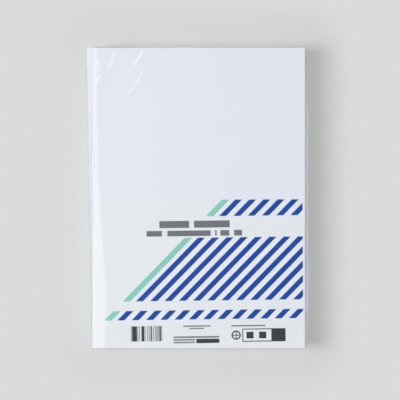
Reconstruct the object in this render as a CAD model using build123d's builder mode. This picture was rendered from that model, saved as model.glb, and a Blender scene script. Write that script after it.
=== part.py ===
from build123d import *
import os

# A sealed ream of A4 office paper: 500 sheets, a printed insert on top, and the clear film round both.
#
# The ream lies flat on its underside. +Z is up, +Y runs along the length of the sheets towards the
# head of the printed insert, and +X is to the reader's right. The origin is the middle of the film's
# underside, below the middle of the stack. All sizes are in millimetres.
#
#     paper_block   500 cut sheets, squared up, as one solid
#     insert_sheet  the printed paper that lies loose on the lower half of the stack
#     film_wrap     one rectangle of clear film: a loose tube with a lap seal along the underside,
#                   closed at each end by an envelope fold

# Driving dimensions: the paper.
paper_width = 210.0
paper_length = 297.0
sheet_count = 500
sheet_caliper = 0.104

# The printed insert, placed by its margins to the edges of the stack.
insert_length = 145.5
insert_caliper = 0.1
insert_left_margin = 1.0
insert_right_margin = 2.0
insert_front_margin = 1.2
insert_turn = 0.3  # degrees, as it has slipped a little on the stack

# The film.
film_thickness = 0.05
film_slack = 0.6  # between the stack's sides and the corners of the film tube
film_end_gap = 0.3  # between the stack's ends and the first folded layer
film_rest_gap = 0.05  # between the stack's top or the insert and the film over them
lap_width = 12.0  # the two edges of the film that overlap along the underside
flap_overlap = 20.0  # how far the two end flaps overlap at the middle of an end

# How far each long side of the film stands out past its corners, from the front to the back.
left_bulge_front = 0.8
left_bulge_middle = 3.2
left_bulge_back = 5.6
right_bulge_front = 1.6
right_bulge_middle = 3.4
right_bulge_back = 0.8

# Sizes that follow from the ones above.
block_height = sheet_count * sheet_caliper
block_bottom = 2 * film_thickness  # the stack lies on both layers of the lap
block_top = block_bottom + block_height
insert_width = paper_width - insert_left_margin - insert_right_margin
insert_x = (insert_left_margin - insert_right_margin) / 2
insert_y = -paper_length / 2 + insert_front_margin + insert_length / 2
film_height = block_top + insert_caliper + film_rest_gap + film_thickness
tube_half_width = paper_width / 2 + film_slack + film_thickness
tube_end = paper_length / 2 + film_end_gap
flap_reach = (film_height + flap_overlap) / 2

# Where the sections of the film tube stand, and how far its left and right sides bulge there.
tube_sections = [
    (-tube_end, left_bulge_front, right_bulge_front),
    (0.0, left_bulge_middle, right_bulge_middle),
    (tube_end, left_bulge_back, right_bulge_back),
]


def cross_plane(y):
    """The upright plane across the ream at y, drawn on in X and Z."""
    return Plane(origin=(0, y, 0), x_dir=(1, 0, 0), z_dir=(0, -1, 0))


def film_section(y, left_bulge, right_bulge, wall):
    """The film tube's outline at y, moved in by wall: two flats joined by two arcs."""
    side = tube_half_width - wall
    low = wall
    high = film_height - wall
    middle = film_height / 2
    with BuildSketch(cross_plane(y)) as section:
        with BuildLine():
            base = Line((-side, low), (side, low))
            right = ThreePointArc(base @ 1, (side + right_bulge, middle), (side, high))
            top = Line(right @ 1, (-side, high))
            ThreePointArc(top @ 1, (-side - left_bulge, middle), base @ 0)
        make_face()
    return section.sketch


def film_solid(wall):
    """The closed solid inside the film tube's outline, moved in by wall, from end to end."""
    with BuildPart() as body:
        for section in tube_sections:
            add(film_section(*section, wall))
        loft(ruled=True)
    return body.part


def fold_layers(left_bulge, right_bulge):
    """The layers of film folded flat on one end, from the stack outwards, as outlines in X and Z.

    The film that runs past the end of the stack is tucked in from both sides, which leaves a flap
    above and a flap below with edges at 45 degrees. The top flap comes down over the tucks, and the
    bottom flap comes up over the top flap. The corners of each flap lie doubled under it.
    """
    left = -tube_half_width - left_bulge
    right = tube_half_width + right_bulge
    reach = flap_reach
    head = film_height
    side_tucks = [
        [(left, 0), (left + reach, 0), (left + reach, head), (left, head)],
        [(right - reach, 0), (right, 0), (right, head), (right - reach, head)],
    ]
    top_corners = [
        [(left, head), (left + reach, head), (left + reach, head - reach)],
        [(right, head), (right - reach, head - reach), (right - reach, head)],
    ]
    bottom_corners = [
        [(left, 0), (left + reach, reach), (left + reach, 0)],
        [(right, 0), (right - reach, 0), (right - reach, reach)],
    ]
    top_flap = [(left, head), (right, head), (right - reach, head - reach), (left + reach, head - reach)]
    bottom_flap = [(left, 0), (right, 0), (right - reach, reach), (left + reach, reach)]
    return [side_tucks, top_corners, [top_flap], bottom_corners, [bottom_flap]]


def fold_hems(layer):
    """The film of the tube's top and base that runs on, in one layer, to the flap that grows from it."""
    top_flap_layer = 2
    bottom_flap_layer = 4
    hems = []
    if layer < top_flap_layer:
        hems.append(film_height - film_thickness / 2)
    if layer < bottom_flap_layer:
        hems.append(film_thickness / 2)
    return hems


# The stack of sheets.
with BuildPart() as paper_block:
    with BuildSketch(Plane.XY.offset(block_bottom)):
        Rectangle(paper_width, paper_length)
    extrude(amount=block_height)
paper_block.part.label = "paper_block"

# The insert, turned a little about its own middle.
insert_plane = Plane.XY.offset(block_top) * Location((insert_x, insert_y, 0), (0, 0, insert_turn))
with BuildPart() as insert_sheet:
    with BuildSketch(insert_plane):
        Rectangle(insert_width, insert_length)
    extrude(amount=insert_caliper)
insert_sheet.part.label = "insert_sheet"

# The film: the tube, the doubled lap along the underside, and the folded layers on both ends.
tube_outside = film_solid(0)
tube_inside = film_solid(film_thickness)
with BuildPart() as film_wrap:
    add(tube_outside)
    add(tube_inside, mode=Mode.SUBTRACT)
    with BuildSketch(Plane.XY.offset(film_thickness)):
        Rectangle(lap_width, 2 * tube_end)
    extrude(amount=film_thickness)
    for end, (y, left_bulge, right_bulge) in ((-1, tube_sections[0]), (1, tube_sections[-1])):
        for layer, outlines in enumerate(fold_layers(left_bulge, right_bulge)):
            inner_face = y + end * layer * film_thickness
            with BuildSketch(cross_plane(inner_face)):
                for outline in outlines:
                    with BuildLine():
                        Polyline(*outline, close=True)
                    make_face()
                for hem_height in fold_hems(layer):
                    with Locations((0, hem_height)):
                        Rectangle(2 * tube_half_width, film_thickness)
                add(film_section(inner_face, left_bulge, right_bulge, 0), mode=Mode.INTERSECT)
            extrude(amount=-end * film_thickness)
film_wrap.part.label = "film_wrap"

os.makedirs("parts", exist_ok=True)
export_step(paper_block.part, "parts/paper_block.step")
export_step(insert_sheet.part, "parts/insert_sheet.step")
export_step(film_wrap.part, "parts/film_wrap.step")
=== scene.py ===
# %% [markdown]
# # A sealed ream of office paper
# A ream is five hundred sheets, squared up and wrapped. This one has a printed insert lying on its lower
# half, and clear film round everything. The film is one rectangle: it goes round the stack as a tube, its two
# edges overlap along the underside, and each end is closed with an envelope fold.
#
# The real sizes come from a CAD model, which is loaded first as a fixed frame. Blender adds what CAD leaves
# out: the cut edges of the sheets, the print, and the creases and shine of the film. Blender works in
# metres, so a size in millimetres is written as a number times `mm`.

# %% Load the frame
import bisect
import math
import random

import bpy
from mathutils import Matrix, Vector, noise


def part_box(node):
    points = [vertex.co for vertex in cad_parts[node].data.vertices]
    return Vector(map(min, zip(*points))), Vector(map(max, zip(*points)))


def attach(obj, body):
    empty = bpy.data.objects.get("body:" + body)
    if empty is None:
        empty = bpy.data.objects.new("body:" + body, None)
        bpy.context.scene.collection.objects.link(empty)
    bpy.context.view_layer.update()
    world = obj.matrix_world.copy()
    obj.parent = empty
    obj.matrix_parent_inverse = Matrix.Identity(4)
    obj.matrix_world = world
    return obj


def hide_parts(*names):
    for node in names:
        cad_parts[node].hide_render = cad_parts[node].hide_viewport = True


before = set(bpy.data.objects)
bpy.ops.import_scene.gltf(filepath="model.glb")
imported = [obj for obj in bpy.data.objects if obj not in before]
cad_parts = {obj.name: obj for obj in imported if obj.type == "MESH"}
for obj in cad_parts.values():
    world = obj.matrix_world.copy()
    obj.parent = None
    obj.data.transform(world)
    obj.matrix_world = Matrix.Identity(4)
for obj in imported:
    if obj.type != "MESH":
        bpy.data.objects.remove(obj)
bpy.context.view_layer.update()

mm = 0.001
block_low, block_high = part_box("paper_block")
insert_low, insert_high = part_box("insert_sheet")
film_low, film_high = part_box("film_wrap")
print("stack of sheets, mm:", [round(side / mm, 1) for side in block_high - block_low])

# %% [markdown]
# ## Helpers for meshes
# Each piece is a list of points and a list of faces, worked out by plain code and handed to Blender in one
# go. That suits folded and stacked things better than modelling by hand, because every layer has its place.

# %% Make a piece
def make_piece(name, points, faces, material, smooth):
    """A new mesh object that rides on the ream's only body."""
    mesh = bpy.data.meshes.new(name)
    mesh.from_pydata(points, [], faces)
    mesh.update()
    mesh.polygons.foreach_set("use_smooth", [smooth] * len(mesh.polygons))
    mesh.materials.append(material)
    piece = bpy.data.objects.new(name, mesh)
    bpy.context.scene.collection.objects.link(piece)
    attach(piece, "root")
    print(name, "has", len(points), "points and", len(faces), "faces")
    return piece


def blend_step(low, high, value):
    """0 below low, 1 above high, and a smooth climb between them."""
    share = min(max((value - low) / (high - low), 0.0), 1.0)
    return share * share * (3 - 2 * share)


# %% [markdown]
# ## Helpers for materials
# A material is a tree of nodes. Written out call by call it is long and hard to follow, so two small helpers
# add a node with its settings and its links in one line, and do a sum with a Math node.

# %% Add nodes
def add_node(tree, kind, inputs=None, **settings):
    """Adds a node. An input given as another node's output is linked, and any other is set as a value."""
    node = tree.nodes.new(kind)
    for setting, value in settings.items():
        setattr(node, setting, value)
    for name, value in (inputs or {}).items():
        if isinstance(value, bpy.types.NodeSocket):
            tree.links.new(value, node.inputs[name])
        else:
            node.inputs[name].default_value = value
    return node


def sum_node(tree, operation, *values):
    """The output of a Math node that works on up to three values."""
    inputs = dict(enumerate(values))
    return add_node(tree, "ShaderNodeMath", inputs, operation=operation).outputs[0]


def mix_colour(tree, share, first, second):
    """The colour between two colours, at the given share of the way."""
    inputs = {"Factor": share}
    node = add_node(tree, "ShaderNodeMix", inputs, data_type="RGBA")
    for socket, colour in ((node.inputs[6], first), (node.inputs[7], second)):
        if isinstance(colour, bpy.types.NodeSocket):
            tree.links.new(colour, socket)
        else:
            socket.default_value = (*colour, 1.0)
    return node.outputs[2]


def new_material(name):
    """An empty material, its node tree and its output node."""
    material = bpy.data.materials.new(name)
    material.use_nodes = True
    tree = material.node_tree
    tree.nodes.clear()
    return material, tree, tree.nodes.new("ShaderNodeOutputMaterial")


# %% [markdown]
# ## Paper grain
# Office paper is pressed from short fibres. It is even from far away, but close up its tone is slightly
# cloudy and its surface has a fine tooth. The stack and the insert are both paper, so the grain is a node
# group, built once and placed in both materials. It gives a mask of the cloudy tone and a height for bump.

# %% Paper grain group
def paper_grain_group():
    """Two scales of noise: slow clouds for the tone, and fine fibres for the height."""
    group = bpy.data.node_groups.new("Paper Grain", "ShaderNodeTree")
    sockets = (("Cloud Size", "INPUT"), ("Fibre Size", "INPUT"), ("Clouds", "OUTPUT"), ("Height", "OUTPUT"))
    for name, direction in sockets:
        group.interface.new_socket(name, in_out=direction, socket_type="NodeSocketFloat")
    given = group.nodes.new("NodeGroupInput")
    result = group.nodes.new("NodeGroupOutput")
    place = add_node(group, "ShaderNodeTexCoord").outputs["Object"]
    cloud_scale = sum_node(group, "DIVIDE", 1.0, given.outputs["Cloud Size"])
    fibre_scale = sum_node(group, "DIVIDE", 1.0, given.outputs["Fibre Size"])
    clouds = add_node(group, "ShaderNodeTexNoise", {"Vector": place, "Scale": cloud_scale, "Detail": 4.0})
    fibres = add_node(group, "ShaderNodeTexNoise", {"Vector": place, "Scale": fibre_scale, "Detail": 3.0})
    group.links.new(clouds.outputs["Fac"], result.inputs["Clouds"])
    group.links.new(fibres.outputs["Fac"], result.inputs["Height"])
    return group


paper_grain = paper_grain_group()

# %% [markdown]
# ## White office paper
# The paper is bright white with a slight blue cast, from its optical brightener. The sides of a stack look
# different from its face: they are thousands of cut edges, so they show fine level lines, some lighter and
# some darker. One material does both, because the lines depend only on the height in the stack. They are
# noise that is squeezed in height and stretched along the sheets, and a mask keeps them off level faces.

# %% Paper material
def stack_paper_material():
    """White paper, with the lines of the cut edges on its upright faces."""
    material, tree, output = new_material("stack_paper")
    grain = add_node(tree, "ShaderNodeGroup", node_tree=paper_grain)
    grain.inputs["Cloud Size"].default_value = 40 * mm
    grain.inputs["Fibre Size"].default_value = 0.6 * mm
    place = add_node(tree, "ShaderNodeTexCoord").outputs["Object"]
    line_places = [(0.35 * mm, 60 * mm), (1.6 * mm, 150 * mm), (7 * mm, 400 * mm)]
    lines = []
    for height, length in line_places:
        stretch = (1 / length, 1 / length, 1 / height)
        squeezed = add_node(tree, "ShaderNodeMapping", {"Vector": place, "Scale": stretch})
        layer = add_node(tree, "ShaderNodeTexNoise", {"Vector": squeezed.outputs[0], "Scale": 1.0, "Detail": 2.0})
        lines.append(layer.outputs["Fac"])
    fine_and_middle = sum_node(tree, "MULTIPLY_ADD", lines[0], 0.5, lines[1])
    all_lines = sum_node(tree, "MULTIPLY_ADD", lines[2], 0.6, fine_and_middle)
    shade = add_node(tree, "ShaderNodeMapRange", {"Value": all_lines, "From Min": 0.75, "From Max": 1.35})
    facing = add_node(tree, "ShaderNodeNewGeometry").outputs["True Normal"]
    upright = add_node(tree, "ShaderNodeSeparateXYZ", {"Vector": facing}).outputs["Z"]
    on_edge = sum_node(tree, "LESS_THAN", sum_node(tree, "ABSOLUTE", upright), 0.5)
    face_colour = mix_colour(tree, grain.outputs["Clouds"], (0.83, 0.86, 0.935), (0.85, 0.875, 0.95))
    edge_colour = mix_colour(tree, shade.outputs["Result"], (0.68, 0.7, 0.75), (0.93, 0.945, 0.97))
    colour = mix_colour(tree, on_edge, face_colour, edge_colour)
    line_height = sum_node(tree, "MULTIPLY", lines[0], on_edge)
    height = sum_node(tree, "MULTIPLY_ADD", line_height, 3.0, grain.outputs["Height"])
    bump = add_node(tree, "ShaderNodeBump", {"Height": height, "Strength": 0.25, "Distance": 0.05 * mm})
    paper = add_node(tree, "ShaderNodeBsdfPrincipled", {"Base Color": colour, "Normal": bump.outputs[0]})
    paper.inputs["Roughness"].default_value = 0.9
    paper.inputs["Specular IOR Level"].default_value = 0.25
    tree.links.new(paper.outputs[0], output.inputs["Surface"])
    return material


stack_paper = stack_paper_material()

# %% [markdown]
# ## The stack of sheets
# Five hundred loose sheets never line up exactly. The stack is built the way it really is, sheet by sheet:
# each one is a thin slab, moved sideways by a hair. The shift wanders slowly up the stack, because sheets
# are cut in piles, and it jumps a little where two piles meet. Neighbouring slabs share a ledge, so the stack
# is still one closed surface.

# %% Stack of sheets
sheet_count = 500
sheets_in_pile = 125
largest_shift = 0.16 * mm


def sheet_shifts():
    """How far each sheet is moved along x and y, from the bottom up."""
    dice = random.Random(4)
    shifts = []
    shift = Vector((0.0, 0.0))
    for sheet in range(sheet_count):
        reach = 0.12 * mm if sheet % sheets_in_pile == 0 else 0.025 * mm
        shift = shift * 0.97 + Vector((dice.uniform(-reach, reach), dice.uniform(-reach, reach)))
        shift = Vector([min(max(part, -largest_shift), largest_shift) for part in shift])
        shifts.append(shift.copy())
    return shifts


def build_stack():
    """All the sheets as one closed mesh of slabs and ledges."""
    thickness = (block_high.z - block_low.z) / sheet_count
    points = []
    faces = [(3, 2, 1, 0)]
    for sheet, shift in enumerate(sheet_shifts()):
        for z in (block_low.z + sheet * thickness, block_low.z + (sheet + 1) * thickness):
            for x, y in ((-1, -1), (1, -1), (1, 1), (-1, 1)):
                points.append((block_high.x * x + shift.x, block_high.y * y + shift.y, z))
    ring_count = len(points) // 4
    for ring in range(ring_count - 1):
        for corner in range(4):
            here = 4 * ring + corner
            after = 4 * ring + (corner + 1) % 4
            faces.append((here, after, after + 4, here + 4))
    top = 4 * (ring_count - 1)
    faces.append((top, top + 1, top + 2, top + 3))
    return make_piece("paper_stack", points, faces, stack_paper, smooth=False)


paper_stack = build_stack()
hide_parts("paper_block")

# %% [markdown]
# ## The printed insert
# The insert is a loose sheet of the same sort of paper, printed in four inks. Its print is all straight
# edges and flat colours, so it can be drawn with sums instead of a picture, and it stays sharp at any
# distance. A rectangle is where both coordinates lie between two limits, and a diagonal stripe is where the
# difference of the two coordinates lies between two limits. Text, names and symbols are left out: plain
# bars and shapes hold their places.
#
# The print has its own coordinates, in millimetres from the middle of the sheet, turned slightly, because
# the sheet was cut a little askew.

# %% Print coordinates
print_middle = ((insert_low.x + insert_high.x) / 2, (insert_low.y + insert_high.y) / 2, 0.0)
print_turn = math.radians(0.75)


def print_coordinates(tree):
    """The x and y of the print, in millimetres."""
    place = add_node(tree, "ShaderNodeTexCoord").outputs["Object"]
    from_middle = add_node(tree, "ShaderNodeVectorMath", {0: place, 1: print_middle}, operation="SUBTRACT")
    turned = add_node(tree, "ShaderNodeVectorRotate", {"Vector": from_middle.outputs[0]}, rotation_type="Z_AXIS")
    turned.inputs["Angle"].default_value = -print_turn
    in_mm = add_node(tree, "ShaderNodeVectorMath", {0: turned.outputs[0], "Scale": 1 / mm}, operation="SCALE")
    parts = add_node(tree, "ShaderNodeSeparateXYZ", {"Vector": in_mm.outputs[0]})
    return parts.outputs["X"], parts.outputs["Y"]


def between(tree, value, low, high):
    """1 where the value lies between low and high, and 0 elsewhere."""
    return sum_node(tree, "COMPARE", value, (low + high) / 2, (high - low) / 2)


def any_of(tree, masks):
    """1 where at least one of the masks is 1."""
    found = masks[0]
    for mask in masks[1:]:
        found = sum_node(tree, "MAXIMUM", found, mask)
    return found


# %% [markdown]
# ### Stripes
# Three bands of diagonal stripes run across the sheet and off its right edge. The stripes of all the bands
# are in line with each other, so there is one field of stripes, and the bands are a mask over it. The first
# stripe is mint green and a little wider, and the others are blue, as wide as the gaps between them.

# %% Stripe masks
band_limits = ((56.4, 80.0), (-26.8, 35.3), (-45.3, -36.2))
green_stripe = (-48.1, -40.6)
first_blue = -35.0
blue_pitch = 14.11
blue_width = 7.0


def stripe_masks(tree, x, y):
    """The masks of the blue stripes and of the green stripe."""
    across = sum_node(tree, "SUBTRACT", x, y)
    bands = any_of(tree, [between(tree, y, low, high) for low, high in band_limits])
    from_first = sum_node(tree, "SUBTRACT", across, first_blue)
    in_stripe = sum_node(tree, "LESS_THAN", sum_node(tree, "FLOORED_MODULO", from_first, blue_pitch), blue_width)
    past_first = sum_node(tree, "GREATER_THAN", from_first, 0.0)
    blue = sum_node(tree, "MULTIPLY", sum_node(tree, "MULTIPLY", in_stripe, past_first), bands)
    green = sum_node(tree, "MULTIPLY", between(tree, across, *green_stripe), bands)
    return blue, green


# %% [markdown]
# ### Plain bars in place of text
# A line of text becomes a row of bars, one for each word. A designer does the same in a sketch, and calls
# it greeking. Each line below is its lower and upper limit, and then the left and right end of each bar. The
# block of upright bars stands where a shop's code would be. Its bars come from random numbers, one for
# each step along the block, so they say nothing.

# %% Bar masks
title_lines = (
    ((45.2, 52.1), ((-37.6, -8.2), (-3.4, 31.9))),
    ((37.0, 42.5), ((-50.4, -35.2), (-29.8, 13.0), (17.4, 18.9), (22.6, 31.4), (36.1, 43.9))),
)
small_lines = (
    ((-52.6, -51.2), ((-15.6, 11.6),)),
    ((-55.0, -53.7), ((-9.2, 4.9),)),
    ((-52.9, -51.5), ((32.2, 65.8),)),
    ((-63.6, -61.9), ((-25.2, 20.2),)),
    ((-66.2, -64.6), ((-25.2, -4.0),)),
    ((-68.7, -67.2), ((-25.2, -4.0),)),
)
plain_blocks = (
    ((-68.8, -64.6), ((-2.6, 20.2),)),
    ((-67.9, -55.2), ((71.6, 85.6),)),
)
code_height = (-66.4, -51.4)
code_sides = (-67.6, -35.6)
code_step = 0.55


def lines_mask(tree, x, y, lines):
    """The mask of all the bars of some lines."""
    masks = []
    for limits, bars in lines:
        ends = any_of(tree, [between(tree, x, left, right) for left, right in bars])
        masks.append(sum_node(tree, "MULTIPLY", between(tree, y, *limits), ends))
    return any_of(tree, masks)


def code_mask(tree, x, y):
    """A block of upright bars of uneven widths."""
    step = sum_node(tree, "FLOOR", sum_node(tree, "DIVIDE", x, code_step))
    dice = add_node(tree, "ShaderNodeTexWhiteNoise", {"W": step}, noise_dimensions="1D")
    bars = sum_node(tree, "GREATER_THAN", dice.outputs["Value"], 0.45)
    block = sum_node(tree, "MULTIPLY", between(tree, x, *code_sides), between(tree, y, *code_height))
    return sum_node(tree, "MULTIPLY", bars, block)


# %% [markdown]
# ### A printer's mark
# A printer puts small plain marks in a corner to line up the inks: a ring with a cross, and a strip with
# square cells. They take the place of the symbols that such sheets carry. A ring is where the distance
# to its middle lies between two limits.

# %% Mark masks
ring_middle = (36.8, -61.4)
ring_radii = (3.3, 4.6)
cross_half_width = 0.45
strip_x = (42.9, 85.6)
strip_y = (-68.0, -55.1)
strip_line = 0.9
cell_limits = ((47.0, 54.0), (59.5, 66.5))
cell_height = (-64.8, -58.3)


def mark_masks(tree, x, y):
    """The mask of the ring with its cross, and of the strip's outline and cells."""
    from_x = sum_node(tree, "SUBTRACT", x, ring_middle[0])
    from_y = sum_node(tree, "SUBTRACT", y, ring_middle[1])
    across = add_node(tree, "ShaderNodeCombineXYZ", {"X": from_x, "Y": from_y}).outputs[0]
    distance = add_node(tree, "ShaderNodeVectorMath", {0: across}, operation="LENGTH").outputs["Value"]
    ring = between(tree, distance, *ring_radii)
    bars = any_of(tree, [between(tree, side, -cross_half_width, cross_half_width) for side in (from_x, from_y)])
    cross = sum_node(tree, "MULTIPLY", bars, sum_node(tree, "LESS_THAN", distance, ring_radii[1]))
    inner_x = (strip_x[0] + strip_line, strip_x[1] - strip_line)
    inner_y = (strip_y[0] + strip_line, strip_y[1] - strip_line)
    strip = sum_node(tree, "MULTIPLY", between(tree, x, *strip_x), between(tree, y, *strip_y))
    inside = sum_node(tree, "MULTIPLY", between(tree, x, *inner_x), between(tree, y, *inner_y))
    outline = sum_node(tree, "SUBTRACT", strip, inside)
    cells = any_of(tree, [between(tree, x, *limits) for limits in cell_limits])
    cells = sum_node(tree, "MULTIPLY", cells, between(tree, y, *cell_height))
    return any_of(tree, [ring, cross, outline, cells])


# %% [markdown]
# ### Printed paper
# The inks go on one over the other, as colours mixed by their masks. Ink sinks into uncoated paper, so it is
# as matt as the paper, a little cloudy where the paper took up more or less of it, and its edges waver
# by a hair along the fibres. Moving the coordinates by a little noise gives that edge.

# %% Printed paper material
def printed_paper_material():
    """Paper with the stripes, bars and marks printed on it."""
    material, tree, output = new_material("printed_paper")
    grain = add_node(tree, "ShaderNodeGroup", node_tree=paper_grain)
    grain.inputs["Cloud Size"].default_value = 6 * mm
    grain.inputs["Fibre Size"].default_value = 0.5 * mm
    x, y = print_coordinates(tree)
    waver = sum_node(tree, "MULTIPLY_ADD", grain.outputs["Height"], 0.2, -0.1)
    x = sum_node(tree, "ADD", x, waver)
    blue, green = stripe_masks(tree, x, y)
    grey = lines_mask(tree, x, y, title_lines)
    dark = any_of(tree, [lines_mask(tree, x, y, plain_blocks), code_mask(tree, x, y), mark_masks(tree, x, y)])
    pale = lines_mask(tree, x, y, small_lines)
    blue_ink = mix_colour(tree, grain.outputs["Clouds"], (0.004, 0.062, 0.36), (0.012, 0.085, 0.42))
    green_ink = mix_colour(tree, grain.outputs["Clouds"], (0.27, 0.62, 0.53), (0.31, 0.68, 0.59))
    colour = mix_colour(tree, grain.outputs["Clouds"], (0.84, 0.865, 0.9), (0.87, 0.89, 0.92))
    inks = ((blue, blue_ink), (green, green_ink), (grey, (0.19, 0.2, 0.22)), (dark, (0.045, 0.05, 0.06)),
            (pale, (0.24, 0.25, 0.27)))
    for mask, ink in inks:
        colour = mix_colour(tree, mask, colour, ink)
    bump = add_node(tree, "ShaderNodeBump", {"Height": grain.outputs["Height"], "Strength": 0.2})
    bump.inputs["Distance"].default_value = 0.04 * mm
    paper = add_node(tree, "ShaderNodeBsdfPrincipled", {"Base Color": colour, "Normal": bump.outputs[0]})
    paper.inputs["Roughness"].default_value = 0.85
    paper.inputs["Specular IOR Level"].default_value = 0.3
    tree.links.new(paper.outputs[0], output.inputs["Surface"])
    return material


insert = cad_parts["insert_sheet"]
insert.data.materials.clear()
insert.data.materials.append(printed_paper_material())
print("the insert has", len(insert.data.polygons), "faces and one printed material")

# %% [markdown]
# ## Clear film
# Film is too thin to need a thickness of its own: it lets nearly all light through, and mirrors a little of
# it. So its material mixes a Transparent shader, for what goes through, with a Glossy one, for what is
# mirrored. How much is mirrored grows towards a glancing view, by the rule that the Layer Weight node
# gives. Film is also slightly milky. Seen face on that hardly shows, but along a rolled edge the eye looks
# through much more of it, and the edge turns white. The heat seals are milkier, because the hot bar leaves
# the film finely dimpled. The mesh carries a mask of them, called `seal`. It carries a second mask, of
# painted sheen: white is painted along the ridges of slack film in place of the bright sheen the sloping
# film shows, and along the folds and free edges of the end flaps in place of their highlights.

# %% Film material
def clear_film_material():
    """Clear film with a glossy face, milky edges, fine ripples, dimpled seals and painted sheen along its ridges and
    folds.
    """
    material, tree, output = new_material("clear_film")
    place = add_node(tree, "ShaderNodeTexCoord").outputs["Object"]
    seal = add_node(tree, "ShaderNodeAttribute", attribute_name="seal").outputs["Fac"]
    # painted sheen: a mask of white painted along the ridges and on the folds, standing in for sheen and highlights
    painted_sheen_mask = add_node(tree, "ShaderNodeAttribute", attribute_name="painted_sheen").outputs["Fac"]
    ripples = add_node(tree, "ShaderNodeTexNoise", {"Vector": place, "Scale": 1 / (9 * mm), "Detail": 3.0})
    dimples = add_node(tree, "ShaderNodeTexVoronoi", {"Vector": place, "Scale": 1 / (1.4 * mm)})
    dimple_height = sum_node(tree, "MULTIPLY", dimples.outputs["Distance"], seal)
    height = sum_node(tree, "MULTIPLY_ADD", dimple_height, 0.25, ripples.outputs["Fac"])
    bump = add_node(tree, "ShaderNodeBump", {"Height": height, "Strength": 0.35, "Distance": 0.35 * mm})
    glance = add_node(tree, "ShaderNodeLayerWeight", {"Blend": 0.5, "Normal": bump.outputs[0]}).outputs["Facing"]
    mirrored = sum_node(tree, "MULTIPLY_ADD", sum_node(tree, "POWER", glance, 5.0), 0.85, 0.07)
    milky_edge = sum_node(tree, "MULTIPLY", sum_node(tree, "POWER", glance, 4.0), 0.2)
    milky_seal = sum_node(tree, "MULTIPLY_ADD", seal, 0.08, 0.005)
    # the film's own haze at glancing views and on the seals, plus the painted sheen
    haze_and_painted_sheen = sum_node(tree, "ADD", sum_node(tree, "ADD", milky_edge, milky_seal), painted_sheen_mask)
    clear = add_node(tree, "ShaderNodeBsdfTransparent", {"Color": (0.985, 0.99, 0.995, 1.0)})
    gloss = add_node(tree, "ShaderNodeBsdfGlossy", {"Normal": bump.outputs[0], "Roughness": 0.2})
    gloss.inputs["Color"].default_value = (1.0, 1.0, 1.0, 1.0)
    white_haze_and_sheen = add_node(tree, "ShaderNodeBsdfPrincipled", {"Normal": bump.outputs[0]})
    white_haze_and_sheen.inputs["Base Color"].default_value = (0.93, 0.95, 0.98, 1.0)
    white_haze_and_sheen.inputs["Roughness"].default_value = 0.35
    body = add_node(tree, "ShaderNodeMixShader", {0: haze_and_painted_sheen, 1: clear.outputs[0], 2: white_haze_and_sheen.outputs[0]})
    film = add_node(tree, "ShaderNodeMixShader", {0: mirrored, 1: body.outputs[0], 2: gloss.outputs[0]})
    tree.links.new(film.outputs[0], output.inputs["Surface"])
    return material


clear_film = clear_film_material()

# %% [markdown]
# A ray of light may cross or bounce between many layers of film at the folded ends, so Cycles is allowed
# more steps than usual before it gives up and returns black.

# %% Steps of light
bpy.context.scene.cycles.transparent_max_bounces = 32
bpy.context.scene.cycles.glossy_bounces = 16
bpy.context.scene.cycles.max_bounces = 24

# %% [markdown]
# ## The film's flat pattern
# The film is modelled as the sheet it is cut from, a grid of columns that run the length of the ream
# and rows that run round it. Folding is then a rule that says where each point of the flat sheet ends up.
#
# The columns start at the inner edge of the lap, go left along the underside, up the left side, across the
# top, down the right side, and back along the underside to the outer edge of the lap. Near the corners
# they stand exactly as far apart as the rows of the end flaps, so that the folds, which run at 45
# degrees, go through the grid's own corners.

# %% Columns and rows
film_side = block_high.x + 0.4 * mm
film_top = film_high.z
film_end = block_high.y + 0.2 * mm
lap_width = 12 * mm
flap_reach = (film_top + 20 * mm) / 2
fold_rows = 36
fold_step = flap_reach / fold_rows
corner_zone = film_side - flap_reach


def even_steps(start, end, step):
    """Places from start towards end, no further apart than step, without end itself."""
    count = math.ceil(abs(end - start) / step - 0.001)
    return [start + (end - start) * i / count for i in range(count)]


ridge_zone = film_top - 13 * mm
creased_zone = corner_zone - 22 * mm
side_places = even_steps(0, ridge_zone, 1.4 * mm) + even_steps(ridge_zone, film_top, 0.45 * mm) + [film_top]
columns = (
    [("under_inner", x) for x in even_steps(lap_width / 2, -corner_zone, 5 * mm)]
    + [("under_inner", x) for x in even_steps(-corner_zone, -film_side, fold_step)]
    + [("left", place) for place in side_places[:-1]]
    + [("top", x) for x in even_steps(-film_side, -corner_zone, fold_step)]
    + [("top", x) for x in even_steps(-corner_zone, -creased_zone, 1.25 * mm)]
    + [("top", x) for x in even_steps(-creased_zone, corner_zone, 3.5 * mm)]
    + [("top", x) for x in even_steps(corner_zone, film_side, fold_step)]
    + [("right", place) for place in side_places[:0:-1]]
    + [("under_outer", x) for x in even_steps(film_side, corner_zone, fold_step)]
    + [("under_outer", x) for x in even_steps(corner_zone, -lap_width / 2, 5 * mm)]
    + [("under_outer", -lap_width / 2)]
)
creased_end = 60 * mm
rows = (
    even_steps(-film_end, -film_end + creased_end, fold_step)
    + even_steps(-film_end + creased_end, film_end - creased_end, 2.5 * mm)
    + even_steps(film_end - creased_end, film_end, fold_step)
    + [film_end]
)
print("the film has", len(columns), "columns and", len(rows), "rows between its end folds")

# %% [markdown]
# ## How the slack lies
# The tube of film is a little larger than the stack. The slack gathers along the top edges of the sides, as
# a low ridge that stands out past the stack and then turns back under. The left ridge stands out
# most at the back end, and the right one along the middle. On top, the film next to the left ridge doesn't
# lie flat either: it climbs gently to a low crest before it settles on the paper, and that slope
# catches the light. Each of these changes slowly along the ream, so it is given by a few values from front
# to back, joined by a smooth curve.

# %% Slack along the ream
left_ridges = (0.3, 0.9, 1.65, 2.95, 3.85, 4.7, 6.0)
right_ridges = (2.4, 3.6, 3.7, 3.4, 3.5, 2.9, 0.5)
crest_insets = (9.5, 12.0, 8.5, 6.0, 4.6, 3.8, 4.0)
crest_roundings = (2.6, 2.4, 1.6, 0.9, 0.5, 0.35, 0.3)


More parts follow.
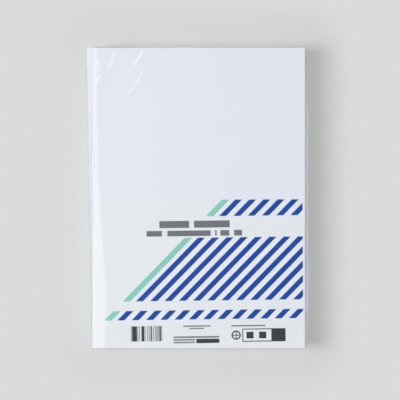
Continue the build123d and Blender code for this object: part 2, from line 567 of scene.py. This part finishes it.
def along_ream(values, y):
    """The smooth curve through evenly spaced values, from the front end to the back end, in metres."""
    place = min(max((y + film_end) / (2 * film_end), 0.0), 1.0) * (len(values) - 1)
    here = min(int(place), len(values) - 2)
    share = place - here
    before, first, second, after = [values[min(max(here + i, 0), len(values) - 1)] for i in (-1, 0, 1, 2)]
    bend = 2 * before - 5 * first + 4 * second - after
    twist = 3 * (first - second) + after - before
    return mm * (first + 0.5 * share * (second - before + share * (bend + share * twist)))


# %% [markdown]
# ## The slope next to the left ridge
# The crest is where a rising line meets a falling one, with the corner between them rounded off. A smooth
# minimum does that: it follows the lower of two lines, and bends gently from one to the other where they
# cross.

# %% Slope next to the left ridge
ridge_slope = 0.19
edge_lift = 0.5 * mm
flank_width = 26 * mm


def smooth_minimum(first, second, rounding):
    """The lower of two values, rounded off where they are nearly equal."""
    share = max(rounding - abs(first - second), 0.0) / rounding
    return min(first, second) - share * share * rounding / 4


def left_roll(x, y):
    """How high the film stands over the top of the stack, near its left edge."""
    inset = along_ream(crest_insets, y)
    from_edge = x + block_high.x
    rising = edge_lift + ridge_slope * (from_edge + film_side - block_high.x)
    crest = edge_lift + ridge_slope * inset
    falling = crest * (1 - blend_step(inset, inset + flank_width, from_edge))
    return max(smooth_minimum(rising, falling, along_ream(crest_roundings, y)), 0.0)


# %% [markdown]
# ## The line of a side
# Seen from an end, each side of the film goes up from the bottom edge close to the paper, leans out under
# the ridge, turns over it and comes back to the top edge. A few control points give that line, and a
# curve made of short arcs rounds them off: each arc goes from the middle of one stretch to the middle of the
# next. Points are then found by their share of the whole length, because film doesn't stretch.

# %% Line of a side
ridge_depth = 6.5 * mm
arc_steps = 8


def side_controls(ridge, lift):
    """The control points of a side's line, as distance out and height, from bottom to top."""
    top = Vector((0.0, film_top + lift))
    edge = Vector((ridge, film_top + lift - ridge_slope * ridge - 0.1 * mm))
    under = Vector((0.08 * ridge, film_top - ridge_depth))
    turn = min(1.3 * mm, 0.45 * ridge)
    before_edge = edge + (under - edge).normalized() * turn
    after_edge = edge + (top - edge).normalized() * turn
    foot = Vector((0.1 * ridge, 9 * mm))
    return [Vector((0.0, 0.0)), foot, under, before_edge, edge, after_edge, top]


def rounded_line(controls):
    """The line through the control points, rounded off, as many short stretches."""
    middles = [(first + second) / 2 for first, second in zip(controls, controls[1:])]
    starts = [controls[0]] + middles[1:-1]
    ends = middles[1:-1] + [controls[-1]]
    line = [controls[0]]
    for start, bend, end in zip(starts, controls[1:-1], ends):
        for i in range(1, arc_steps + 1):
            t = i / arc_steps
            line.append(start * (1 - t) ** 2 + bend * (2 * t * (1 - t)) + end * t * t)
    return line


def even_points(line, shares):
    """Points of a line at shares of its length."""
    reached = [0.0]
    for first, second in zip(line, line[1:]):
        reached.append(reached[-1] + (second - first).length)
    points = []
    for share in shares:
        goal = share * reached[-1]
        i = min(max(bisect.bisect_left(reached, goal), 1), len(line) - 1)
        part = (goal - reached[i - 1]) / (reached[i] - reached[i - 1])
        points.append(line[i - 1].lerp(line[i], part))
    return points


def side_section(ridge, lift):
    """The points of a side at one row, found by their place in the flat pattern."""
    points = even_points(rounded_line(side_controls(ridge, lift)), [place / film_top for place in side_places])
    return dict(zip(side_places, points))


# %% [markdown]
# ## Creases
# A crease in film is a sharp, low ridge that fades out at both ends. Here it is a curve through three points
# and a height that falls off on both sides of it. The strongest ones are in the back left corner, where the
# most slack was gathered: a loop round the corner, and a few straight ones that run away from it. Each is
# given by its three points, measured from that corner to the right and to the front, its height and
# its half width, in millimetres.

# %% Top creases
corner_creases = (
    ((19.0, 0.0), (29.0, 9.0), (13.5, 25.0), 0.75, 1.9),
    ((3.0, 9.0), (10.0, 12.0), (9.0, 25.0), 0.6, 2.2),
    ((4.5, 36.0), (9.0, 31.0), (12.0, 24.0), 0.5, 1.8),
    ((52.5, 1.0), (48.0, 10.0), (40.5, 21.0), 0.55, 1.3),
    ((50.5, 27.0), (46.0, 34.0), (36.0, 47.5), 0.45, 1.2),
    ((49.0, 20.0), (50.5, 25.0), (47.0, 32.0), 0.3, 1.2),
    ((12.0, 1.0), (16.0, 8.0), (24.0, 15.0), 0.35, 1.2),
    ((20.0, 1.0), (21.0, 9.0), (18.0, 19.0), 0.3, 1.1),
)
crease_steps = 10


def crease(start, middle, end, height, half_width):
    """A crease as short straight stretches, each with the share of the height that it has."""
    points = []
    for i in range(crease_steps + 1):
        t = i / crease_steps
        point = start * (1 - t) ** 2 + middle * (2 * t * (1 - t)) + end * t * t
        points.append((point, math.sin(math.pi * t) ** 0.5))
    return points, height, half_width


def crease_lift(creases, point):
    """How far the creases lift the film at a point."""
    lift = 0.0
    for stretches, height, half_width in creases:
        reach = 4 * half_width
        for (first, first_share), (second, second_share) in zip(stretches, stretches[1:]):
            if abs(point.x - first.x) > reach + crease_span or abs(point.y - first.y) > reach + crease_span:
                continue
            run = second - first
            t = min(max((point - first).dot(run) / run.length_squared, 0.0), 1.0)
            distance = (point - first - run * t).length
            share = first_share + (second_share - first_share) * t
            lift = max(lift, height * share * math.exp(-((distance / half_width) ** 2)))
    return lift


crease_span = 10 * mm
corner = Vector((-block_high.x, block_high.y))
top_creases = []
for start, middle, end, height, half_width in corner_creases:
    places = [corner + Vector((right, -front)) * mm for right, front in (start, middle, end)]
    top_creases.append(crease(*places, height * mm, half_width * mm))
print(len(top_creases), "creases in the back left corner")

# %% [markdown]
# The other corners and the walls have many small creases that nobody would place by hand. They are drawn
# from random numbers with a fixed seed, so they are the same each time.

# %% Small creases
def fan_of_creases(dice, centre, toward, count, length, height, half_width):
    """Creases that run away from a centre, spread on both sides of one direction."""
    fan = []
    for _ in range(count):
        angle = toward + dice.uniform(-0.75, 0.75)
        run = Vector((math.cos(angle), math.sin(angle)))
        start = centre + run * dice.uniform(0.05, 0.3) * length
        end = start + run * length * dice.uniform(0.35, 1.0)
        aside = Vector((-run.y, run.x)) * dice.uniform(-0.12, 0.12) * length
        size = dice.uniform(0.4, 1.0)
        fan.append(crease(start, (start + end) / 2 + aside, end, height * size, half_width * (0.6 + 0.5 * size)))
    return fan


top_dice = random.Random(21)
front_left = Vector((-block_high.x, -block_high.y))
top_creases += fan_of_creases(top_dice, front_left, math.radians(55), 9, 34 * mm, 0.22 * mm, 1.3 * mm)
top_creases += fan_of_creases(top_dice, corner, math.radians(-50), 6, 36 * mm, 0.2 * mm, 1.2 * mm)
for side, back in ((1, -1), (1, 1)):
    centre = Vector((side * block_high.x, back * block_high.y))
    toward = math.atan2(-back, -side)
    top_creases += fan_of_creases(top_dice, centre, toward, 5, 26 * mm, 0.1 * mm, 1.3 * mm)


def wall_creases(seed, length, count):
    """Upright creases of a wall, in its own coordinates: along it, and up it."""
    dice = random.Random(seed)
    creases = []
    for _ in range(count):
        along = dice.uniform(-0.5, 0.5) * length
        low = dice.uniform(0.0, 0.45) * film_top
        high = dice.uniform(0.55, 1.0) * film_top
        lean = dice.uniform(-14, 14) * mm
        start = Vector((along, low))
        end = Vector((along + lean, high))
        middle = (start + end) / 2 + Vector((dice.uniform(-4, 4) * mm, 0))
        creases.append(crease(start, middle, end, dice.uniform(0.25, 0.9) * mm, dice.uniform(1.3, 3.0) * mm))
    return creases


side_creases = {"left": wall_creases(5, 2 * film_end, 26), "right": wall_creases(6, 2 * film_end, 24)}
print(len(top_creases), "creases on top and", sum(map(len, side_creases.values())), "in the sides")

# %% [markdown]
# ## Where the tube runs
# Now each point of the tube can be placed. The section gives the plain tube with its slack, and the creases
# and a slow unevenness are added to it, most of all half way up the sides. The film is never moved into the
# paper.

# %% Tube
lap_lift = 0.05 * mm
wall_ripple = 0.5 * mm


def ripple(x, y, z, size):
    """Slow unevenness, from -1 to 1."""
    return noise.noise(Vector((x, y, z)) / size)


def side_point(wall, place, y, section):
    """A point of the tube's left or right side."""
    line_point = section[place]
    slackness = math.sin(math.pi * min(place / ridge_zone, 1.0))
    uneven = wall_ripple * (1 + ripple(y, place, 0, 22 * mm) + 0.5 * ripple(y, place, 1, 9 * mm))
    swell = slackness * (uneven + crease_lift(side_creases[wall], Vector((y, place))))
    side = -1 if wall == "left" else 1
    return Vector((side * (film_side + line_point.x + swell), y, line_point.y))


def tube_row(y):
    """The points of one row of the tube, in the order of the columns."""
    left = side_section(along_ream(left_ridges, y), left_roll(-film_side, y))
    right = side_section(along_ream(right_ridges, y), 0.0)
    row = []
    for wall, place in columns:
        if wall == "left":
            row.append(side_point(wall, place, y, left))
        elif wall == "right":
            row.append(side_point(wall, place, y, right))
        elif wall == "top":
            lift = left_roll(place, y) + crease_lift(top_creases, Vector((place, y)))
            lift += 0.06 * mm * (1 + ripple(place, y, 2, 45 * mm)) * min(1.0, (film_side - abs(place)) / (4 * mm))
            row.append(Vector((place, y, film_top + lift)))
        else:
            over_lap = wall == "under_inner" and place > -lap_width / 2
            row.append(Vector((place, y, lap_lift if over_lap else 0.0)))
    return row


# %% [markdown]
# ## The envelope fold
# At each end the tube runs on past the stack by the reach of the flaps, and is folded flat in this order:
# both sides are tucked in, the top flap comes down over them, and the bottom flap comes up last. A corner
# of the top flap has to fold back under it at 45 degrees, because it is joined to the side that was tucked
# in. So there are five layers, from the stack outwards: the tucks, the top corners, the top flap, the
# bottom corners and the bottom flap.
#
# For a point of a flap, `out` is how far it was past the end of the tube before folding, and `inward` is how
# far it is from the side of the tube. Where `out` is larger, the point has crossed the 45 degree fold, and
# the two swap places.

# %% End folds
layer_gap = 0.07 * mm
tuck_layer, top_corner_layer, top_flap_layer, bottom_corner_layer, bottom_flap_layer = range(5)


def folded_point(wall, place, out, ring_point):
    """Where a point past the end of the tube lies after folding: its x, its z and its layer."""
    unsettled = 1 - blend_step(0, 8 * mm, out)
    if wall in ("left", "right"):
        inner = out if wall == "left" else -out
        layer = tuck_layer
        if wall == "left" and place == 0:
            layer = (tuck_layer + bottom_corner_layer) / 2
        if wall == "right" and place == film_top:
            layer = (tuck_layer + top_corner_layer) / 2
        return ring_point.x + inner, place + (ring_point.z - place) * unsettled, layer
    inward = film_side - abs(place)
    over_fold = out > inward + fold_step / 2
    on_fold = not over_fold and out > inward - fold_step / 2
    x = math.copysign(film_side - out, place) if over_fold else place
    down = inward if over_fold else out
    corner_layer, flap_layer = top_corner_layer, top_flap_layer
    if wall != "top":
        corner_layer, flap_layer = bottom_corner_layer, bottom_flap_layer
    layer = corner_layer if over_fold else flap_layer
    if on_fold:
        layer = (corner_layer + flap_layer) / 2
    if inward < fold_step / 2:
        layer = (tuck_layer + corner_layer) / 2
    if wall == "top":
        return x, film_top - down + (ring_point.z - film_top) * unsettled, layer
    return x, down, layer


def end_creases(seed):
    """Creases of an end: fans from its four corners, in x and z."""
    dice = random.Random(seed)
    creases = []
    for side in (-1, 1):
        for level, lean in ((film_top, -1), (0.0, 1)):
            toward = math.atan2(lean * 0.7, -side)
            centre = Vector((side * film_side, level))
            creases += fan_of_creases(dice, centre, toward, 6, 44 * mm, 0.4 * mm, 1.4 * mm)
    return creases


creases_at_end = {-1: end_creases(31), 1: end_creases(32)}


def end_point(end, wall, place, out, ring_point):
    """A point of the folded end, with its unevenness: end is -1 at the front and 1 at the back."""
    x, z, layer = folded_point(wall, place, out, ring_point)
    started = blend_step(0, 1.5 * fold_step, out)
    uneven = 0.12 * mm * (1 + ripple(x, z, 5 * end, 24 * mm)) + crease_lift(creases_at_end[end], Vector((x, z)))
    y = film_end + started * (layer * layer_gap + uneven)
    return Vector((x, end * y, z))


# %% [markdown]
# ## Join it all up
# The flat sheet's rows, from front to back, are the front flap rows, the tube's rows and the back flap rows.
# The faces between them are the same grid all over, which is what makes it one sheet of film. In the end
# flaps each square is cut in two along the 45 degree fold, so that no face bends across it.

# %% Film piece
flap_steps = [fold_step * (i + 1) for i in range(fold_rows)]
seal_half_width = 60 * mm
seal_height = (film_top / 2 - 7 * mm, film_top / 2 + 7 * mm)


def seal_strength(point, out):
    """1 where the film is sealed to the layer below it, and 0 elsewhere."""
    if out > 0:
        across = 1 - blend_step(seal_half_width - 2 * mm, seal_half_width, abs(point.x))
        low, high = seal_height
        return across * blend_step(low - mm, low, point.z) * (1 - blend_step(high, high + mm, point.z))
    if point.z < 0.2 * mm:
        return 1 - blend_step(lap_width / 2 - 2 * mm, lap_width / 2, abs(point.x))
    return 0.0


# Painted sheen: white painted along the ridges, more where they stand out further, in place of the sloping film's
# sheen, and a painted highlight on the folds.
ridge_painted_sheen = 0.08 / mm
fold_painted_sheen = 0.25


def painted_sheen(wall, place, y, out):
    """How much painted sheen whitens the film along the ridges, in place of the bright sheen of the sloping film."""
    left_share = along_ream(left_ridges, y) * ridge_painted_sheen
    right_share = along_ream(right_ridges, y) * ridge_painted_sheen
    if wall in ("left", "right"):
        share = left_share if wall == "left" else right_share
        return share * blend_step(film_top - 11 * mm, film_top - 6 * mm, place)
    if wall != "top":
        return 0.0
    from_left = 1 - blend_step(0, 2.5 * mm, place + film_side)
    from_right = 1 - blend_step(0, 1.2 * mm, film_side - place)
    return max(left_share * from_left, right_share * from_right)


def on_a_fold(wall, place, out):
    """Whether a point of the end flaps lies on the 45 degree fold or at the flap's free edge."""
    if wall in ("left", "right") or out == 0:
        return False
    inward = film_side - abs(place)
    return abs(out - inward) < fold_step / 2 or (out > flap_reach - fold_step / 2 and inward > out)


def film_points():
    """All the points of the sheet, row by row, with the seal mask and the painted sheen mask at each."""
    points = []
    seals = []
    sheen_values = []
    flat_rows = [(-1, out, -film_end) for out in reversed(flap_steps)]
    flat_rows += [(0, 0.0, y) for y in rows]
    flat_rows += [(1, out, film_end) for out in flap_steps]
    rings = {y: tube_row(y) for y in rows}
    for end, out, y in flat_rows:
        for (wall, place), point in zip(columns, rings[y]):
            if end:
                point = end_point(end, wall, place, out, point)
            points.append(point)
            seals.append(seal_strength(point, out))
            # painted sheen along the ridges, fading out into the flaps, and a painted highlight on the folds and free
            # edges
            fold_highlight = fold_painted_sheen if on_a_fold(wall, place, out) else 0.0
            sheen_values.append(max(painted_sheen(wall, place, y, out) * (1 - blend_step(0, 10 * mm, out)), fold_highlight))
    return points, seals, sheen_values


def film_faces():
    """The grid of the sheet: squares in the tube, and triangles in the end flaps."""
    width = len(columns)
    height = len(rows) + 2 * fold_rows
    faces = []
    for row in range(height - 1):
        front_flap = row < fold_rows
        back_flap = row >= height - 1 - fold_rows
        for column in range(width - 1):
            a = row * width + column
            b, c, d = a + 1, a + width + 1, a + width
            wall, place = columns[column]
            if not (front_flap or back_flap):
                faces.append((a, b, c, d))
                continue
            rises = (place < -corner_zone / 2) != (wall in ("under_inner", "under_outer"))
            if rises == back_flap:
                faces += [(a, b, c), (a, c, d)]
            else:
                faces += [(a, b, d), (b, c, d)]
    return faces


def build_film():
    """The whole film wrap as one folded sheet."""
    points, seals, sheen_values = film_points()
    piece = make_piece("film_sheet", points, film_faces(), clear_film, smooth=True)
    for name, values in (("seal", seals), ("painted_sheen", sheen_values)):
        piece.data.attributes.new(name, "FLOAT", "POINT").data.foreach_set("value", values)
    piece.data.calc_loop_triangles()
    print("the film is made of", len(piece.data.loop_triangles), "triangles")
    return piece


film_sheet = build_film()
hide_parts("film_wrap")


# %% [markdown]
# The width of the film's flat pattern is worked out: the length of its section once round the stack and
# the lap, at the middle of the ream.

def film_girth():
    """How long the film is round the middle of the ream."""
    section = tube_row(0.0)
    return sum((second - first).length for first, second in zip(section, section[1:]))


flat_width = film_girth()

# %% [markdown]
# ## Floor and backdrop
# The ream lies on a pale grey studio floor, which keeps its soft shadow. Away from the ream the floor turns
# into its own plain colour, whatever light falls there, so that it meets the backdrop without an edge.

# %% Floor
floor_grey = 0.708
studio_radius = 6.0
ream_half_size = (film_side, film_end, 0.0)


def floor_material():
    """Pale grey, lit near the ream, and plain further away."""
    material, tree, output = new_material("studio_floor")
    place = add_node(tree, "ShaderNodeTexCoord").outputs["Object"]
    one_quarter = add_node(tree, "ShaderNodeVectorMath", {0: place}, operation="ABSOLUTE").outputs[0]
    past_ream = add_node(tree, "ShaderNodeVectorMath", {0: one_quarter, 1: ream_half_size}, operation="SUBTRACT")
    outside = add_node(tree, "ShaderNodeVectorMath", {0: past_ream.outputs[0], 1: (0, 0, 0)}, operation="MAXIMUM")
    distance = add_node(tree, "ShaderNodeVectorMath", {0: outside.outputs[0]}, operation="LENGTH").outputs["Value"]
    speckle = add_node(tree, "ShaderNodeTexNoise", {"Vector": place, "Scale": 900.0, "Detail": 2.0})
    grey = sum_node(tree, "MULTIPLY_ADD", speckle.outputs["Fac"], 0.01, 0.655)
    shade = add_node(tree, "ShaderNodeCombineColor", {"Red": grey, "Green": grey, "Blue": grey}).outputs[0]
    lit = add_node(tree, "ShaderNodeBsdfDiffuse", {"Color": shade})
    plain = add_node(tree, "ShaderNodeEmission", {"Color": (floor_grey, floor_grey, floor_grey, 1.0)})
    away = add_node(tree, "ShaderNodeMapRange", {"Value": distance}, interpolation_type="SMOOTHSTEP")
    away.inputs["From Min"].default_value = 15 * mm
    away.inputs["From Max"].default_value = 60 * mm
    seen = add_node(tree, "ShaderNodeLightPath").outputs["Is Camera Ray"]
    share = sum_node(tree, "MULTIPLY", away.outputs["Result"], seen)
    mixed = add_node(tree, "ShaderNodeMixShader", {0: share, 1: lit.outputs[0], 2: plain.outputs[0]})
    tree.links.new(mixed.outputs[0], output.inputs["Surface"])
    return material


def build_floor():
    """A large disc just below the ream."""
    bpy.ops.mesh.primitive_circle_add(vertices=96, radius=studio_radius, fill_type="NGON", location=(0, 0, -0.02 * mm))
    floor = bpy.context.object
    floor.name = "studio_floor"
    floor.data.materials.append(floor_material())
    return floor


studio_floor = build_floor()
print("the floor is at", round(studio_floor.location.z / mm, 3), "mm")

# %% [markdown]
# The backdrop is the world. Seen by the camera it is the floor's grey. Seen in the film it is the same grey
# near the horizon and nearly black overhead, like a studio under a dark ceiling, which keeps the colours
# under the flat film deep. For everything else it is a weak, even light from all sides.

# %% World
even_light = 0.2
ceiling_grey = 0.04


def build_world():
    """The backdrop for the camera, a studio for the film to mirror, and an even light for the rest."""
    world = bpy.data.worlds.new("studio")
    bpy.context.scene.world = world
    world.use_nodes = True
    tree = world.node_tree
    tree.nodes.clear()
    direction = add_node(tree, "ShaderNodeTexCoord").outputs["Generated"]
    height = add_node(tree, "ShaderNodeSeparateXYZ", {"Vector": direction}).outputs["Z"]
    mirrored = add_node(tree, "ShaderNodeMapRange", {"Value": height, "From Min": 0.4, "From Max": 0.9})
    mirrored.inputs["To Min"].default_value = floor_grey
    mirrored.inputs["To Max"].default_value = ceiling_grey
    path = add_node(tree, "ShaderNodeLightPath")
    shiny = sum_node(tree, "MAXIMUM", path.outputs["Is Glossy Ray"], path.outputs["Is Transmission Ray"])
    unlit = sum_node(tree, "MULTIPLY", mirrored.outputs[0], shiny)
    others = sum_node(tree, "MULTIPLY_ADD", sum_node(tree, "SUBTRACT", 1.0, shiny), even_light, unlit)
    camera = path.outputs["Is Camera Ray"]
    strength = sum_node(tree, "MULTIPLY_ADD", camera, sum_node(tree, "SUBTRACT", floor_grey, others), others)
    background = add_node(tree, "ShaderNodeBackground", {"Strength": strength})
    background.inputs["Color"].default_value = (1.0, 1.0, 1.0, 1.0)
    output = tree.nodes.new("ShaderNodeOutputWorld")
    tree.links.new(background.outputs[0], output.inputs["Surface"])


build_world()

# %% [markdown]
# ## Lamps
# A soft box hangs high on the left. It lights the top and throws a short soft shadow to the right. Most of
# the other light comes from straight above, where it throws no shadow. Film mirrors its lamps, so
# what it mirrors is set apart from what lights the paper: the two lamps are hidden from reflections, and
# wide, dim cards that light nothing are seen only in them. The left card is what makes the sloping film
# bright, and the narrow ones put thin lines of light on the creases of the sides.
#
# A card's brightness is given as its radiance, where 1 is as bright as white paper in full light. The power
# that a Blender area lamp needs for it is the radiance times pi and its area.

# %% Lamps
def soft_box(name, azimuth, elevation, distance, width, height, radiance, mirrored):
    """An area lamp that faces the ream. Azimuth 0 is to the right of it, and 90 is behind it."""
    lamp = bpy.data.lights.new(name, "AREA")
    lamp.shape = "RECTANGLE"
    lamp.size = width
    lamp.size_y = height
    lamp.energy = radiance * math.pi * width * height
    holder = bpy.data.objects.new(name, lamp)
    bpy.context.scene.collection.objects.link(holder)
    around, up = math.radians(azimuth), math.radians(elevation)
    away = Vector((math.cos(around) * math.cos(up), math.sin(around) * math.cos(up), math.sin(up)))
    holder.location = away * distance
    holder.rotation_mode = "QUATERNION"
    holder.rotation_quaternion = away.to_track_quat("Z", "Y")
    holder.visible_glossy = mirrored
    holder.visible_diffuse = not mirrored
    return holder


left_box = soft_box("left_soft_box", 184, 65, 2.2, 0.55, 1.15, 9.6, mirrored=False)
left_card = soft_box("left_card", 180, 62, 1.6, 2.6, 1.0, 1.45, mirrored=True)
right_card = soft_box("right_card", -40, 30, 2.0, 1.4, 0.35, 1.6, mirrored=True)
back_card = soft_box("back_card", 135, 30, 2.0, 1.4, 0.35, 1.6, mirrored=True)

sun = bpy.data.lights.new("overhead_light", "SUN")
sun.energy = 0.44 * math.pi
sun.angle = math.radians(14)
overhead = bpy.data.objects.new("overhead_light", sun)
overhead.visible_glossy = False
bpy.context.scene.collection.objects.link(overhead)

# %% [markdown]
# ## Camera
# The camera looks straight down from well above, with a long lens, so that the ream's sides hardly show. The
# width of the view and the length of the lens give its height.

# %% Camera
view_width = 395 * mm
view_middle = Vector((1.4 * mm, -2.0 * mm))
camera_data = bpy.data.cameras.new("camera")
camera_data.lens = 150
camera = bpy.data.objects.new("camera", camera_data)
bpy.context.scene.collection.objects.link(camera)
camera_height = film_top + view_width * camera_data.lens / camera_data.sensor_width
camera.location = (view_middle.x, view_middle.y, camera_height)
bpy.context.scene.camera = camera
bpy.context.scene.view_settings.view_transform = "Standard"
print("the camera is", round(camera_height, 2), "m above the floor")
